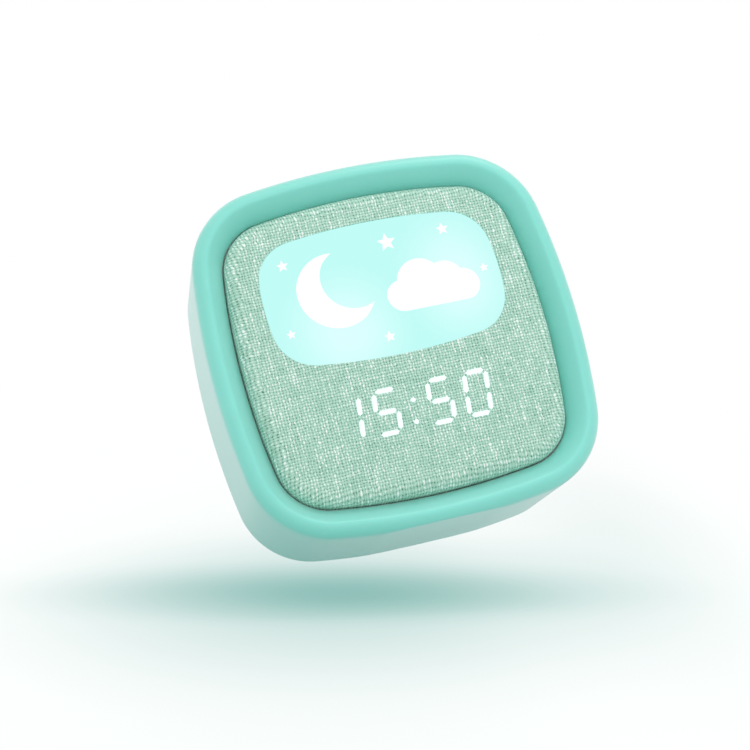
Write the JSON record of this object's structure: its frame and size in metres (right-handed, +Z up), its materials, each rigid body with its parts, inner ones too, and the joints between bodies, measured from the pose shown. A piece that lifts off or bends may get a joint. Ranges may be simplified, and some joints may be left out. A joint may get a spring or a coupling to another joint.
{
  "type": "kids alarm clock with night light",
  "caption": "Rounded-square kids alarm clock with a soft skin, a cloth front with a lit time display, a night-light window and push buttons behind.",
  "frame": {"origin": "middle of the flat that the clock stands on", "axes": "+Z up, -Y out of the clock's front, +X to the right as seen from the front"},
  "size_m": [0.12, 0.0594, 0.1189],
  "materials": {
    "mint_silicone": "satin",
    "white_abs": "satin",
    "mint_abs": "satin",
    "mint_cloth": "woven",
    "lit_window": "glowing, smooth",
    "opal_white": "glowing, smooth",
    "white_board": "solder mask",
    "led_chip": "smooth",
    "lit_digits": "glowing",
    "dark_digits": "smooth",
    "black_plastic": "satin",
    "green_board": "solder mask",
    "steel": "plated",
    "white_knob": "satin",
    "cream_plastic": "satin",
    "black_foam": "matte",
    "black_paper": "matte",
    "battery_wrap": "shrink wrap"
  },
  "bodies": {
    "housing": {"baffle_screws": "steel", "battery_cell": "battery_wrap", "battery_contacts": "steel", "battery_holder": "black_plastic", "board_screws": "steel", "charging_socket": "steel", "clock_chip": "black_plastic", "cloud_figure": "opal_white", "dark_segments": "dark_digits", "display_block": "black_plastic", "display_board": "green_board", "fabric_cover": "mint_cloth", "front_baffle": "white_abs", "lead_sockets": "cream_plastic", "light_box": "white_abs", "lit_segments": "lit_digits", "main_board": "green_board", "main_housing": "white_abs", "moon_figure": "opal_white", "night_light_board": "white_board", "night_light_leds": "led_chip", "rear_cover": "mint_abs", "rear_cover_screws": "steel", "silicone_skin": "mint_silicone", "slide_switch_body": "steel", "snooze_board": "green_board", "snooze_screws": "steel", "snooze_switch": "black_plastic", "speaker_basket": "steel", "speaker_cone": "black_paper", "speaker_gasket": "black_foam", "speaker_magnet": "steel", "star_figures": "opal_white", "tact_switches": "black_plastic", "window_lens": "lit_window"},
    "clock_key": {"clock_button": "mint_abs", "clock_plunger": "black_plastic"},
    "alarm_key": {"alarm_button": "mint_abs", "alarm_plunger": "black_plastic"},
    "minus_key": {"minus_button": "mint_abs", "minus_plunger": "black_plastic"},
    "plus_key": {"plus_button": "mint_abs", "plus_plunger": "black_plastic"},
    "light_key": {"light_button": "mint_abs", "light_plunger": "black_plastic"},
    "snooze_key": {"snooze_button": "mint_abs", "snooze_plunger": "black_plastic"},
    "alarm_slider": {"slide_switch_knob": "white_knob"}
  },
  "joints": [
    {"name": "clock_press", "type": "slide", "parent": "housing", "child": "clock_key", "axis": [0, -0.9975, 0.0708], "range_m": [0, 0.0006], "stiffness_N_per_m": 600},
    {"name": "alarm_press", "type": "slide", "parent": "housing", "child": "alarm_key", "axis": [0, -0.9975, 0.0708], "range_m": [0, 0.0006], "stiffness_N_per_m": 600},
    {"name": "minus_press", "type": "slide", "parent": "housing", "child": "minus_key", "axis": [0, -0.9975, 0.0708], "range_m": [0, 0.0006], "stiffness_N_per_m": 600},
    {"name": "plus_press", "type": "slide", "parent": "housing", "child": "plus_key", "axis": [0, -0.9975, 0.0708], "range_m": [0, 0.0006], "stiffness_N_per_m": 600},
    {"name": "light_press", "type": "slide", "parent": "housing", "child": "light_key", "axis": [0, -0.9975, 0.0708], "range_m": [0, 0.0006], "stiffness_N_per_m": 600},
    {"name": "snooze_press", "type": "slide", "parent": "housing", "child": "snooze_key", "axis": [0, -0.0708, -0.9975], "range_m": [0, 0.0008], "stiffness_N_per_m": 600},
    {"name": "alarm_slide", "type": "slide", "parent": "housing", "child": "alarm_slider", "axis": [1, 0, 0], "range_m": [0, 0.003]}
  ]
}
